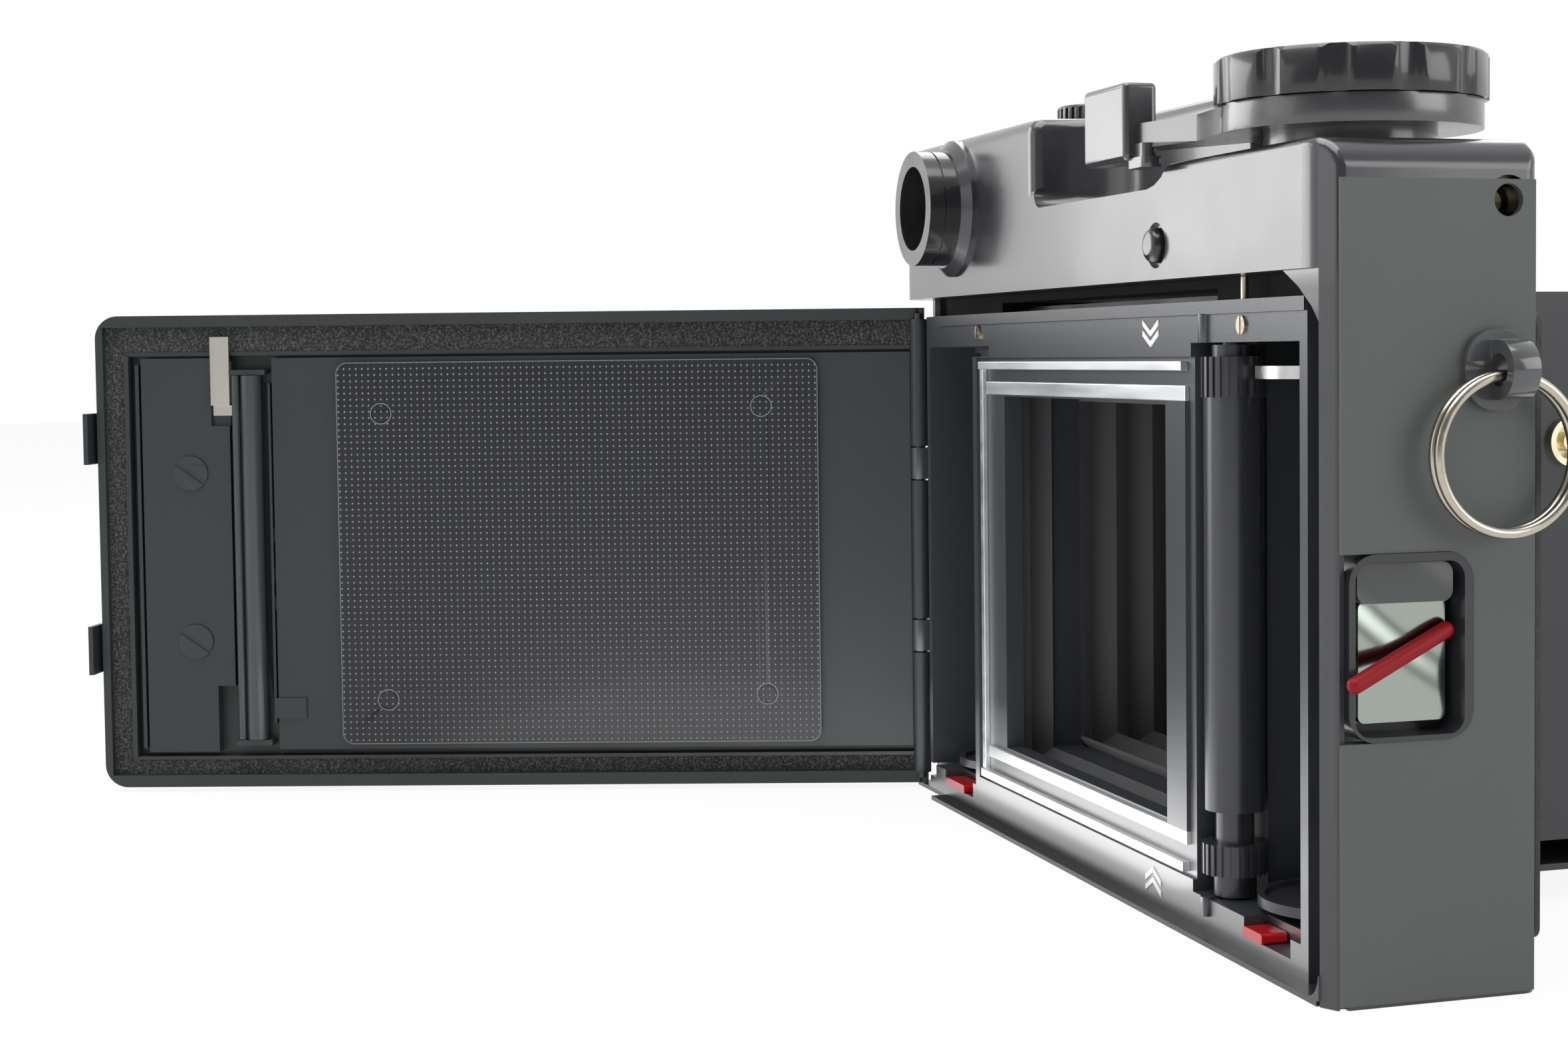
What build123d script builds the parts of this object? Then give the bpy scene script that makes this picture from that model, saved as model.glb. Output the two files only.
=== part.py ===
from build123d import *
import math
import os

# Medium format folding rangefinder camera. Millimetres, +Z up, lens towards -Y,
# origin at the mouth of the tripod socket in the flat base.

# Driving dimensions
HX, HY = 72.0, 12.5
XN, XF = -83.0, HX + 4.0
YF, YB, COVER_Y = -13.0, 12.0, 13.0
ZS, ZD, ZT = 85.3, 100.3, 110.8
SCOOP_Z = 97.3
LENS_Z = 41.1
HINGE_R, PIN_R = 1.5, 0.8
DOOR_OPEN = 108.6
DOOR_L = 144.4
SPOOL_X, SUPPLY_X = 58.0, HX - 15.0
ROLL_X, ROLL_Y = -44.6, 8.0
KNOB_X, KNOB_Y, KNOB_R = -62.0, 0.5, 16.6
HUB_Z, KNOB_Z, KNOB_T = 102.4, 105.9, 111.5
DIAL_X, DIAL_Y, DIAL_R = 16.5, 1.2, 6.5
COUNT_X, COUNT_Y = -14.0, -5.9
METER_X, METER_Z = -35.9, 89.8
LOCK_X, LOCK_Y = -51.7, 9.8
LUG_Y, LUG_Z, RING_Y, RING_R = -7.6, 73.4, -6.9, 9.1
EYE_X, EYE_Z = 45.5, 99.4
ARM_L, ARM_OPEN, PIVOT_Y = 73.0, 36.73, -0.5
STD_F, STD_B = -62.0, -36.1
TUBE_R = 30.3
BARREL_R, BORE_R = TUBE_R - 4.3, TUBE_R - 8.8


# Block between two corners
def blk(x0, x1, y0, y1, z0, z1):
    return Pos((x0 + x1) / 2, (y0 + y1) / 2, (z0 + z1) / 2) * Box(x1 - x0, y1 - y0, z1 - z0)


# Rods along Z, Y and X
def rz(x, y, z0, z1, r):
    return Pos(x, y, (z0 + z1) / 2) * Cylinder(r, z1 - z0)


def ry(x, z, y0, y1, r):
    return Pos(x, (y0 + y1) / 2, z) * Rot(90, 0, 0) * Cylinder(r, y1 - y0)


def rx(y, z, x0, x1, r):
    return Pos((x0 + x1) / 2, y, z) * Rot(0, 90, 0) * Cylinder(r, x1 - x0)


# Rounded plates standing across X, Y and Z
def px(x0, x1, y0, y1, z0, z1, r):
    s = Plane.YZ.offset(x0) * Pos((y0 + y1) / 2, (z0 + z1) / 2)
    return extrude(s * RectangleRounded(y1 - y0, z1 - z0, r), x1 - x0)


def py(x0, x1, y0, y1, z0, z1, r):
    s = Plane.XZ.offset(-y1) * Pos((x0 + x1) / 2, (z0 + z1) / 2)
    return extrude(s * RectangleRounded(x1 - x0, z1 - z0, r), y1 - y0)


def pz(x0, x1, y0, y1, z0, z1, r):
    s = Plane.XY.offset(z0) * Pos((x0 + x1) / 2, (y0 + y1) / 2)
    return extrude(s * RectangleRounded(x1 - x0, y1 - y0, r), z1 - z0)


# Flat outline in X and Y, raised from z0 to z1
def flat(pts, z0, z1):
    return extrude(Plane.XY.offset(z0) * make_face(Polyline(*pts, close=True)), z1 - z0)


# One node out of several shapes
def many(*shapes):
    out = []
    for s in shapes:
        out += list(s.solids())
    return Compound(children=out) if len(out) > 1 else out[0]


# Painted sheet body: front, base and both end walls
def body_shell():
    s = pz(XN, XF, YF, YB + 4, 0, ZS, 2) - blk(-84, XF + 1, YB, YB + 5, -1, ZS + 1)
    s -= blk(-84, -82, -12.3, YB + 1, 0.4, ZS + 1)
    s -= blk(-80.8, XF - 1.2, YF + 1.2, YB + 1, 0.7, ZS + 1)
    s -= blk(-43.2, 43.2, YF - 1, YF + 2, 3.9, 84.1)
    s -= blk(XF - 3, XF + 1, 8.5, YB + 1, 0.7, ZS + 1)
    s += blk(-80, 61, YB - 1, 14.6, 0, 0.7)
    s -= rz(0, 0, -1, 1, 4.4)
    s -= px(-83, -80, -4.15, 19, 30.75, 52.55, 3.5)
    for x, y in ((-72, -7), (-72, 7), (66, -7), (66, 4)):
        s -= rz(x, y, -0.1, 0.5, 2.0) + rz(x, y, 0, 0.8, 1.0)
    s -= rz(30, 0, -1, 0.71, 9.0)
    return s


# Light-tight inner casting with the film gate and both spool chambers
def body_casting():
    s = blk(-80.8, XF - 1.2, YF + 1.2, YB, 0.7, ZS)
    s -= blk(-80.9, HX, 7.5, 12.1, 82.3, ZS + 1)
    s -= blk(-80.9, -73, 8, 12.1, 0, ZS + 1)
    s -= blk(HX - 2.9, XF - 1, 8.5, 12.1, 0, ZS + 1)
    s -= blk(-43.2, 43.2, -12, 3.2, 3.9, 84.1)
    s -= blk(-38.8, 43.2, 3.1, 8.5, 3.9, 84.1)
    s -= blk(-32, 32, 8, 12.1, 13.1, 69.1)
    s -= blk(-43, 43.5, 11.4, 12.1, 6.6, 75.2)
    for x0, x1 in ((-71, -45.4), (SUPPLY_X - 11.6, HX - 4.4)):
        s -= pz(x0, x1, -11, 22, 5, 77, 5)
    s -= rz(ROLL_X, ROLL_Y, 5, 77, 4.4)
    s -= blk(-46, -40.2, ROLL_Y, 12.1, 5, 77)
    s -= blk(37.4, HX - 5.7, 10.5, 12.1, 75.4, 77.1)
    s -= blk(-68.3, -55.5, 8.6, 12.1, 2.6, 5.1)
    s -= blk(46.9, 61, 8.6, 12.1, 2.6, 5.1)
    s -= blk(HX - 6, HX - 2.8, 9, 12.1, 2.8, 5.1)
    s -= rz(0, 0, 0, 6, 4.4)
    s -= rz(30, 0, 0, 2.2, 9.0)
    for x in (-SPOOL_X, SUPPLY_X):
        s -= rz(x, 0, 0.6, 6, 3.55)
    s -= rz(-SPOOL_X, 0, 76, 80, 3.05)
    s -= rz(KNOB_X, KNOB_Y, 79.4, 86, 2.65)
    s -= blk(-61.2, -57.2, -9, 9.2, 79.4, 81.8) + blk(-57.3, -43, -10.8, 3.2, 79.4, 81.8)
    s += rz(SUPPLY_X, 0, 76, 77.1, 7) + rz(SUPPLY_X, 0, 72.5, 77, 2.6)
    for z0, z1 in ((24.3, 29.7), (54.3, 59.7)):
        s += rz(HX, HY, z0, z1, HINGE_R) + blk(HX - 1.5, HX + 1.5, 8.4, HY, z0, z1)
    s -= rz(HX, HY, 2, 83, PIN_R)
    for z0, z1 in ((2.9, 5.1), (76.9, 79.5)):
        s -= rz(ROLL_X, ROLL_Y, z0, z1, 1.6)
    s -= rz(LOCK_X, LOCK_Y, 77.5, 83, 0.6)
    s += blk(-72.9, 63, 11.9, 12.4, 80.6, 82.3) + blk(-38.3, -32.0, 11.3, 12, 12.6, 69.4)
    s += rz(ROLL_X, YB, 77.0, 80.7, 0.9) + rz(ROLL_X, YB, 2.8, 5.3, 0.9)
    s -= ry(-55.6, 79.1, 11.2, 13, 1.2)
    s -= ry(42.2, 79.3, 11.2, 13, 1.2)
    s -= px(-81, -77, -4.15, 19, 30.75, 52.55, 3.45)
    for x, y in ((-72, -7), (-72, 7), (66, -7), (66, 4)):
        s -= rz(x, y, 0, 3.6, 1.0)
    return s


# Polished inner rails above and below the gate
def inner_rails():
    s = blk(-38.3, 38.8, 11.4, 12, 69.4, 71.4) + blk(-38.3, 38.8, 11.4, 12, 10.8, 12.6)
    return s


# Polished outer rails joined by the far upright
def outer_rails():
    s = blk(-38, 41.4, 11.4, 12.5, 73.4, 74.6) + blk(-38, 41.4, 11.4, 12.5, 7.2, 8.5)
    return s + blk(40, 41.4, 11.4, 12.2, 8.4, 73.5)


# Double chevrons that mark the film start
def chevron(x, z, up):
    pts = [(x, z), (x + 2.6, z + up * 1.5), (x + 2.6, z + up * 0.75), (x, z - up * 0.75),
           (x - 2.6, z + up * 0.75), (x - 2.6, z + up * 1.5)]
    return extrude(Plane.XZ.offset(-12.15) * make_face(Polyline(*pts, close=True)), 0.15)


def film_arrows():
    out = []
    for z, up in ((78.7, 1), (77.3, 1), (3.6, -1), (5.0, -1)):
        out.append(chevron(-27.4, z, up))
    return many(*out)


# Plan of the top cover with its own corner radii
def top_plan():
    f = make_face(Polyline((XN, YF), (XF, YF), (XF, 15), (-79.2, 15), (XN, COVER_Y), close=True))
    f = fillet([p for p in f.vertices() if p.Y < 0], 2)
    f = fillet([p for p in f.vertices() if p.Y > 12 and p.X < -82], 1.3)
    f = fillet([p for p in f.vertices() if p.Y > 14.9 and p.X < -70], 7)
    return fillet([p for p in f.vertices() if p.Y > 14 and p.X > XF - 6], 8)


# Raised finder part with the thumb scoop cut into its back
def scoop_wall():
    return rz(-3, 13.5, 99, 120, 12) + blk(-60, -3, 1.5, 20, 99, 120)


def scoop_floor():
    z = SCOOP_Z
    pts = [(-3, z), (-33, z), (-35.5, z + 0.4), (-37.8, z + 1.3), (-39.6, z + 3)]
    pts += [(-39.6, z + 3.6), (-3, z + 3.6)]
    side = extrude(Plane.XZ.offset(-20) * make_face(Polyline(*pts, close=True)), 18.5)
    bowl = rz(-3, 13.5, z, z + 3.6, 12)
    return fillet(bowl.faces().sort_by(Axis.Z)[0].edges(), 2.5) + side


def raised_part():
    f = make_face(Polyline((-38, YF), (XF, YF), (XF, 15), (-38, 15), close=True))
    f = fillet([p for p in f.vertices() if p.X > XF - 6 and p.Y < 0], 2)
    f = fillet([p for p in f.vertices() if p.X > XF - 6 and p.Y > 14], 8)
    f = fillet([p for p in f.vertices() if p.X < -37 and p.Y < 0], 4)
    s = extrude(Pos(0, 0, 94) * f, ZT - 94)
    s = fillet(s.faces().sort_by(Axis.Z)[-1].edges(), 2.4)
    s -= scoop_wall()
    rim = [e for e in s.edges() if e.center().Z > 109 and e.center().Y > 1 and e.center().X < 12]
    return fillet([e for e in rim if e.length > 3 and e.center().Y < 14.9], 2.0)


# Rear rim column with its chamfer under the cover
def rim_column(plan):
    col = extrude(plan, ZS) & blk(XN, -80.4, YB, 15, 0, ZS)
    pts = [(-80.5, 78.8), (-80.4, 79.0), (-78.6, 80.9), (-75.2, 83.3), (-71.2, ZS), (-80.5, ZS)]
    ch = extrude(Plane.XZ.offset(-14.3) * make_face(Polyline(*pts, close=True)), 2.3)
    arc = [(-80.5, 3.7)] + [(-77.4 - 3 * math.cos(math.radians(a)), 3.7 - 3 * math.sin(math.radians(a)))
                            for a in range(0, 91, 15)] + [(-77.4, 0.7), (-80.5, 0.7)]
    ft = extrude(Plane.XZ.offset(-14.6) * make_face(Polyline(*arc, close=True)), 2.6)
    return col + ch + ft - blk(-80, -70, 11, 16, -1, 0.7)


# Top cover: wind-side deck, raised finder part, scoop, pedestal and rim
def deck(plan):
    s = extrude(Pos(0, 0, ZS) * plan, ZD - ZS)
    side = py(XN - 0.05, XF + 40, YF - 2, 18, ZS - 40, ZD, 4.4)
    s = s & side
    top = s.faces().sort_by(Axis.Z)[-1]
    return fillet([e for e in top.edges() if e.length > 60 and abs(e.center().Y) > 5], 1.2)


def top_housing():
    plan = top_plan()
    s = deck(plan) + raised_part() + rim_column(plan)
    s -= scoop_floor()
    s += rz(KNOB_X, KNOB_Y, 97, HUB_Z, 10.5)
    s += ry(EYE_X, EYE_Z, 13, 15.6, 11)
    s += Pos(EYE_X, 16.3, EYE_Z) * Rot(-90, 0, 0) * Cone(11, 9.6, 1.4)
    s -= blk(-79.4, XF - 2.4, -11.4, 7.4, ZS - 1, 95.8)
    s -= blk(-79.4, XF - 2.4, 7.0, 12.6, 86.6, 95.0)
    s -= blk(-35.5, XF - 3, -11.0, -0.8, 95, 108.4)
    s -= blk(11.5, XF - 3, -1, 12.6, 95, 108.4)
    s -= blk(-84, -82, -12.3, COVER_Y, 0, 95.4)
    s -= rx(-8.7, 93, -84, -78, 2.9)
    s -= rz(KNOB_X, KNOB_Y, 95, 104, 2.65)
    s -= ry(METER_X, METER_Z, 12, 16, 2.35) + ry(METER_X, METER_Z, 14.4, 16, 3.0)
    s -= ry(EYE_X, EYE_Z, 12, 18, 8.05)
    s -= py(33.5, 57.5, -14, -10, 91.4, 107.4, 1.5)
    s -= py(-23, -15, -14, -10, 95.4, 103.4, 1.0) + py(-4, 14, -14, -10, 94.4, 104.4, 1.0)
    s -= pz(COUNT_X - 3.5, COUNT_X + 3.5, -10.2, -7.2, 108.4, 112, 0.8)
    s -= rz(COUNT_X, COUNT_Y, 108.3, 109.6, 1.05)
    s -= rz(DIAL_X, DIAL_Y, 107, 111, 1.55)
    s -= pz(49.5, 70.5, -12.0, 4.0, 109.6, 112, 0.8)
    return s


# Flat cover on the winding side
def side_cover():
    s = blk(XN, -82, -12.3, COVER_Y, 0.4, 95.4)
    s -= px(-84, -81, -4.15, 19, 30.75, 52.55, 3.5)
    return s - rx(-8.7, 93, -84, -81, 1.9)


# Tray round the latch slide
def latch_bezel():
    s = px(-83.2, -77, -4.1, YB, 30.8, 52.5, 3.45)
    return s - px(-84, -78, -2.9, 11.2, 31.4, 51.5, 2)


def latch_slider():
    s = px(-79.4, -78, -2.4, 10.8, 32.7, 51.4, 1.4)
    s += px(-82.4, -79, -1.8, 10.6, 46.7, 51.4, 1.4)
    plate = px(-80.6, -79, -1.8, 9.5, 32.7, 46.8, 0.8)
    return s + plate


# Red enamelled bar laid across the latch slide
def latch_bar():
    a, b = Vector(-84.45, 11.9, 37.8), Vector(-81.6, -1.3, 43.3)
    d = (b - a).normalized()
    s = extrude(Plane(origin=a, z_dir=d) * Circle(1.0), (b - a).length)
    s += Pos(*b) * Sphere(1.0) + Pos(*a) * Sphere(1.0)
    return s - blk(-80.6, -78, -5, 12, 30, 50)


# Strap lugs on both ends, each with a bored eye
def lug(side):
    x = XN if side < 0 else XF
    e = x + side * 2.4
    s = ry(e, LUG_Z, LUG_Y - 1.8, LUG_Y + 1.8, 3.5)
    s += blk(min(x, e), max(x, e), LUG_Y - 1.8, LUG_Y + 1.8, LUG_Z - 3.5, LUG_Z + 3.5)
    s += px(min(x, x + side), max(x, x + side), LUG_Y - 3.4, LUG_Y + 5, LUG_Z - 4.7, LUG_Z + 4.7, 3.8)
    s -= ry(x + side * 2.6, LUG_Z, LUG_Y - 4, LUG_Y + 6, 1.9)
    return s - blk(min(x, x - side * 3), max(x, x - side * 3), -20, 5, 60, 90)


def strap_lugs():
    return many(lug(-1), lug(1))


# Split ring of two turns side by side
def split_ring(side):
    x = XN - 2.6 if side < 0 else XF + 2.6
    zc = LUG_Z - 0.6 - RING_R
    a = Pos(x - 0.6, RING_Y, zc) * Rot(0, 90, 0) * Torus(RING_R, 0.62)
    return a + Pos(x + 0.6, RING_Y, zc) * Rot(0, 90, 0) * Torus(RING_R, 0.62)


def release_socket():
    s = rx(-8.7, 93, -81.95, -78.2, 2.9)
    return s - rx(-8.7, 93, -84, -79.0, 1.9)


# Tripod bush with a quarter inch thread bore
def tripod_bush():
    return rz(0, 0, 0, 5.2, 4.4) - rz(0, 0, -1, 4.8, 3.175)


# Leather skins round the front opening
def grip_skin():
    near = py(-82, -44.2, YF - 0.7, YF, 6, 80, 1.5)
    grip = py(-73, -57, -19.0, YF - 0.6, 10, 76, 4)
    grip = fillet(grip.faces().sort_by(Axis.Y)[0].edges(), 3.0)
    far = py(44.2, XF - 1, YF - 0.7, YF, 6, 80, 1.5)
    return many(near + grip, far)


# Low accessory shoe let into the raised top
def accessory_shoe():
    s = pz(49.5, 70.5, -12.0, 4.0, 109.6, 113.2, 0.8)
    s -= blk(50.7, 69.3, -13, 3.0, 110.2, 112.3)
    return s - blk(53.75, 66.25, -13, 3.0, 110.2, 114)


# Eyepiece mount in two rings
def eyepiece():
    s = ry(EYE_X, EYE_Z, 13, 17.05, 8.0) + ry(EYE_X, EYE_Z, 17, 19.3, 9.2)
    s += ry(EYE_X, EYE_Z, 19.3, 19.6, 8.9) + ry(EYE_X, EYE_Z, 19.6, 22, 9.2)
    return s - ry(EYE_X, EYE_Z, 12, 23, 6.75)


# Panes of the eyepiece, the three front windows and the frame counter
def finder_glass():
    e = ry(EYE_X, EYE_Z, 15.4, 16.6, 6.75)
    w = py(33.5, 57.5, -12.4, -11, 91.4, 107.4, 1.5)
    r = py(-23, -15, -12.4, -11, 95.4, 103.4, 1.0)
    i = py(-4, 14, -12.4, -11, 94.4, 104.4, 1.0)
    c = pz(COUNT_X - 3.5, COUNT_X + 3.5, -10.2, -7.2, 108.4, 110.5, 0.8)
    return many(e, w, r, i, c)


# Optical block between the front window and the eyepiece
def finder_block():
    s = blk(36, 55, -9.5, 12.6, 91.5, 107.0)
    s += blk(-20, 36.1, -9.5, -2.5, 95.5, 103.0) + blk(40, 50, -9, 7, ZS, 91.6)
    s -= blk(39, 52, -10, 11, 93.5, 105.5)
    return s


# Ribbed setting dial on the raised top
def speed_dial():
    s = rz(DIAL_X, DIAL_Y, ZT + 0.05, ZT + 2.6, DIAL_R)
    s = fillet(s.faces().sort_by(Axis.Z)[-1].edges(), 0.7)
    rib = blk(DIAL_R - 0.3, 8, -0.3, 0.3, ZT, 112.9)
    s -= [Pos(DIAL_X, DIAL_Y, 0) * Rot(0, 0, 12 * i) * rib for i in range(30)]
    return s + rz(DIAL_X, DIAL_Y, 107.2, 111, 1.5)


# Numbered disc under the counter window
def counter_disc():
    return rz(COUNT_X, COUNT_Y, 106.4, 107.4, 4.6) + rz(COUNT_X, COUNT_Y, 107, 109.5, 1.0)


def battery_cover():
    return rz(30, 0, 0.02, 2.2, 9.0) - blk(24, 36, -0.8, 0.8, -1, 0.35)


# Slotted screws on the back frame and in the base
def base_screw(x, y):
    s = rz(x, y, 0.05, 0.5, 2.0) + rz(x, y, 0.4, 3.6, 1.0)
    return s - blk(x - 2, x + 2, y - 0.25, y + 0.25, 0, 0.28)


def back_screw(x, z):
    s = ry(x, z, 11.2, 12.35, 1.2)
    return s - blk(x - 0.2, x + 0.2, 12.05, 12.5, z - 2, z + 2)


def screws():
    out = [base_screw(x, y) for x, y in ((-72, -7), (-72, 7), (66, -7), (66, 4))]
    return many(*out, back_screw(-55.6, 79.1), back_screw(42.2, 79.3))


# Film spool supports and the red tabs that work them
def spool_pin(x):
    s = rz(x, 0, 2.0, 6.5, 3.5) + rz(x, 0, 6.2, 6.8, 10.2)
    s += rz(x, 0, 6.2, 7.5, 10.2) - rz(x, 0, 6.7, 8, 9.3)
    return s + rz(x, 0, 6.2, 10.5, 2.6)


def tab(x0, x1):
    s = py(x0, x1, 8.8, 12.3, 2.6, 3.95, 0.45)
    return s


def takeup_drive():
    s = rz(-SPOOL_X, 0, 72.4, 74, 10.3) + rz(-SPOOL_X, 0, 73.9, 79.2, 3.0)
    return s + blk(-SPOOL_X - 2.4, -SPOOL_X + 2.4, -0.8, 0.8, 68.5, 72.5) + rz(-SPOOL_X, 0, 69, 72.5, 1.8)


# Metering roller with knurled ends
def knurl(z0, z1, r, n):
    s = rz(ROLL_X, ROLL_Y, z0, z1, r)
    cuts = [Pos(ROLL_X, ROLL_Y, 0) * Rot(0, 0, 360 / n * i) * blk(r - 0.3, r + 1, -0.28, 0.28, z0 - 1, z1 + 1)
            for i in range(n)]
    return s - cuts


def metering_roller():
    s = rz(ROLL_X, ROLL_Y, 16.5, 70.2, 3.9) + rz(ROLL_X, ROLL_Y, 11.5, 17, 2.5)
    s += knurl(8.2, 12.2, 4.3, 24) + knurl(70.0, 75.2, 4.3, 24)
    s += rz(ROLL_X, ROLL_Y, 5.3, 8.3, 2.8) + rz(ROLL_X, ROLL_Y, 75, 76.7, 2.8)
    return s + rz(ROLL_X, ROLL_Y, 3.2, 5.4, 1.5) + rz(ROLL_X, ROLL_Y, 76.5, 79.2, 1.5)


def interlock_pin():
    return rz(LOCK_X, LOCK_Y, 79.2, 85.2, 0.5)


# Winding lever with its hub and raised thumb piece
def wind_lever():
    s = rz(KNOB_X, KNOB_Y, HUB_Z, HUB_Z + 3.4, 16)
    arm = flat([(-60, 16.2), (-48, 14.6), (-36, 17.2), (-33, 17.4), (-33, 13.4), (-47, 6.5), (-52, -6)],
               HUB_Z, HUB_Z + 3.3)
    s += arm
    s += fillet(blk(-35.2, -21.0, 14.3, 19.1, 100.9, 111.2).edges(), 0.8)
    s += pz(-39.5, -33.5, 15.2, 18.2, 99.8, 101.2, 1.2) + pz(-38.6, -34, 15.6, 17.8, 100.4, 103, 1.0)
    return s - rz(KNOB_X, KNOB_Y, 102, 107, 2.65)


# Focusing knob with grip flutes, shaft and pinion
def focus_knob():
    s = rz(KNOB_X, KNOB_Y, KNOB_Z, KNOB_T, KNOB_R)
    s = chamfer(s.faces().sort_by(Axis.Z)[-1].edges(), 0.5)
    flute = rz(KNOB_R + 2.6, 0, 105, 112, 3.2)
    s -= [Pos(KNOB_X, KNOB_Y, 0) * Rot(0, 0, 26.8 + 30 * i) * flute for i in range(12)]
    s -= rz(KNOB_X, KNOB_Y, 109.6, 112, 11.5)
    s += rz(KNOB_X, KNOB_Y, 109.4, 110.2, 7.5)
    s += rz(KNOB_X, KNOB_Y, 82.2, 106, 2.6) + rz(KNOB_X, KNOB_Y, 79.5, 82.3, 1.7)
    for i in range(11):
        tooth = blk(1.5, 2.42, -0.17, 0.17, 79.6, 81.6)
        s += Pos(KNOB_X, KNOB_Y, 0) * Rot(0, 0, 360 / 11 * (i + 0.5)) * tooth
    return s - rz(KNOB_X, KNOB_Y, 105.8, 112, 5.1) - rz(KNOB_X, KNOB_Y, 99.4, 107, 1.55)


def shutter_button():
    s = rz(KNOB_X, KNOB_Y, 107.6, 112.7, 5.0)
    s = fillet(s.faces().sort_by(Axis.Z)[-1].edges(), 0.8)
    return s + rz(KNOB_X, KNOB_Y, 101, 107.8, 1.45)


def meter_button():
    s = ry(METER_X, METER_Z, 11.0, 16.3, 2.3)
    s = fillet(s.faces().sort_by(Axis.Y)[-1].edges(), 1.1)
    return s + ry(METER_X, METER_Z, 10.8, 11.9, 2.6)


# Pleated wall outline between two depths
def pleats(y0, y1, n, a, b, t):
    step = (y1 - y0) / (2 * n)
    out = [(a if i % 2 == 0 else b, y0 + step * i) for i in range(2 * n + 1)]
    return out + [(p + t, y) for p, y in reversed(out)]


# Four pleated walls joined into one tube
def bellows_tube(y0, y1, n, hx, hz, depth):
    t = 0.6
    s = None
    for side in (-1, 1):
        pts = [(side * p, y) for p, y in pleats(y0, y1, n, hx, hx + depth, t)]
        w = flat(pts, LENS_Z - hz - depth - t, LENS_Z + hz + depth + t)
        s = w if s is None else s + w
        pts = [(y, LENS_Z + side * p) for p, y in pleats(y0, y1, n, hz, hz + depth, t)]
        face = make_face(Polyline(*pts, close=True))
        w = hx + depth + t
        s += extrude(Plane.YZ.offset(-w) * face, 2 * w)
    return s


def bellows_rear():
    return bellows_tube(3.0, 8.5, 1, 33.2, 28.6, 2.6)


def bellows_main():
    return bellows_tube(-2.0, -59.5, 9, 33.8, 27.0, 2.9)


# Focusing carriage: ring frame, arm slots and pivots, rack
def focus_carriage():
    s = blk(-42.6, 42.6, -2, 3, 3.9, 83.4)
    s -= blk(-33.8, 33.8, -3, 4, LENS_Z - 28.6, LENS_Z + 28.6)
    s -= blk(-40.2, 40.2, -3, 1.9, 76.2, 80.3) + blk(-40.2, 40.2, -3, 1.9, 5.3, 8.3)
    s -= blk(-6, 6, -3, 4, 3, 5.45)
    for x in (-34, 34):
        s += rz(x, PIVOT_Y, 76.1, 80.4, 1.4) + rz(x, PIVOT_Y, 5.2, 8.4, 1.4)
    s += blk(-59.3, -42.5, -1.5, 2.3, 79.5, 81.6) + blk(-59.3, -57.5, -1.5, 8.9, 79.5, 81.6)
    for i in range(7):
        y = KNOB_Y + 1.2566 * i
        s += blk(-60.02, -59.2, y - 0.15, y + 0.15, 79.5, 81.6)
    return s


# One scissor arm from its rear pivot to the pin at the standard
def arm(side, z0, z1, pin0, pin1):
    a = math.radians(ARM_OPEN)
    x0 = side * 34
    x1, y1 = x0 - side * ARM_L * math.cos(a), PIVOT_Y - ARM_L * math.sin(a)
    bar = Pos((x0 + x1) / 2, (PIVOT_Y + y1) / 2, (z0 + z1) / 2)
    ang = math.degrees(math.atan2(y1 - PIVOT_Y, x1 - x0))
    s = bar * Rot(0, 0, ang) * Box(ARM_L, 4.0, z1 - z0)
    s += rz(x0, PIVOT_Y, z0, z1, 2.2) + rz(x1, y1, z0, z1, 2.2)
    s += rz(x1, y1, pin0, pin1, 1.2)
    return s - rz(x0, PIVOT_Y, z0 - 1, z1 + 1, 1.45)


# Front standard: hollow box, top and base plates, pin slots
def lens_standard():
    s = blk(-42, 42, STD_F, STD_B, 8.5, 74.5)
    s = fillet(s.faces().sort_by(Axis.Y)[0].edges(), 1.5)
    s -= blk(-39.5, 39.5, -59.5, -35, 10.5, 72.5)
    s += blk(-42, 42, STD_F, STD_B, 82.3, 83.5) + blk(-42, 42, STD_F, STD_B, 4.3, 5.2)
    s += blk(-42, 42, STD_F, STD_F + 1.2, 4.3, 8.6 + 2) + blk(-42, 42, STD_F, STD_F + 1.2, 70, 83.4)
    for x in (-42, 41.2):
        s += blk(x, x + 0.8, STD_F, STD_B, 74.4, 82.4)
    y0 = PIVOT_Y - ARM_L * math.sin(math.radians(ARM_OPEN))
    for x0, x1 in ((-40.2, -22.5), (22.5, 40.2)):
        s -= blk(x0, x1, y0 - 2.4, y0 + 1.35, 73.0, 76) + blk(x0, x1, y0 - 2.4, y0 + 1.35, 8, 10.0)
    s -= blk(-6, 6, STD_B - 5, STD_B + 1, 4, 5.3)
    s -= ry(0, LENS_Z, -63, -58, BARREL_R)
    s -= rx(-43.4, 63.1, -43, -38, 3.4)
    return s


# Lens barrel with a filter bore, glass and the two setting rings
def lens_barrel():
    s = ry(0, LENS_Z, -72.5, -59, BARREL_R) + ry(0, LENS_Z, -64, -62, TUBE_R)
    s += ry(0, LENS_Z, -72.5, -70, TUBE_R)
    s -= ry(0, LENS_Z, -80, -50, BORE_R)
    return s - ry(0, LENS_Z, -80, -71.0, TUBE_R - 1.3) - ry(0, LENS_Z, -71.2, -70.0, BORE_R + 3)


def lens_glass():
    s = Pos(0, -36.0, LENS_Z) * Sphere(35.0) & ry(0, LENS_Z, -72, -62.5, BORE_R)
    rear = ry(0, LENS_Z, -62.0, -60.0, BORE_R)
    return many(s, rear)


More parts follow.
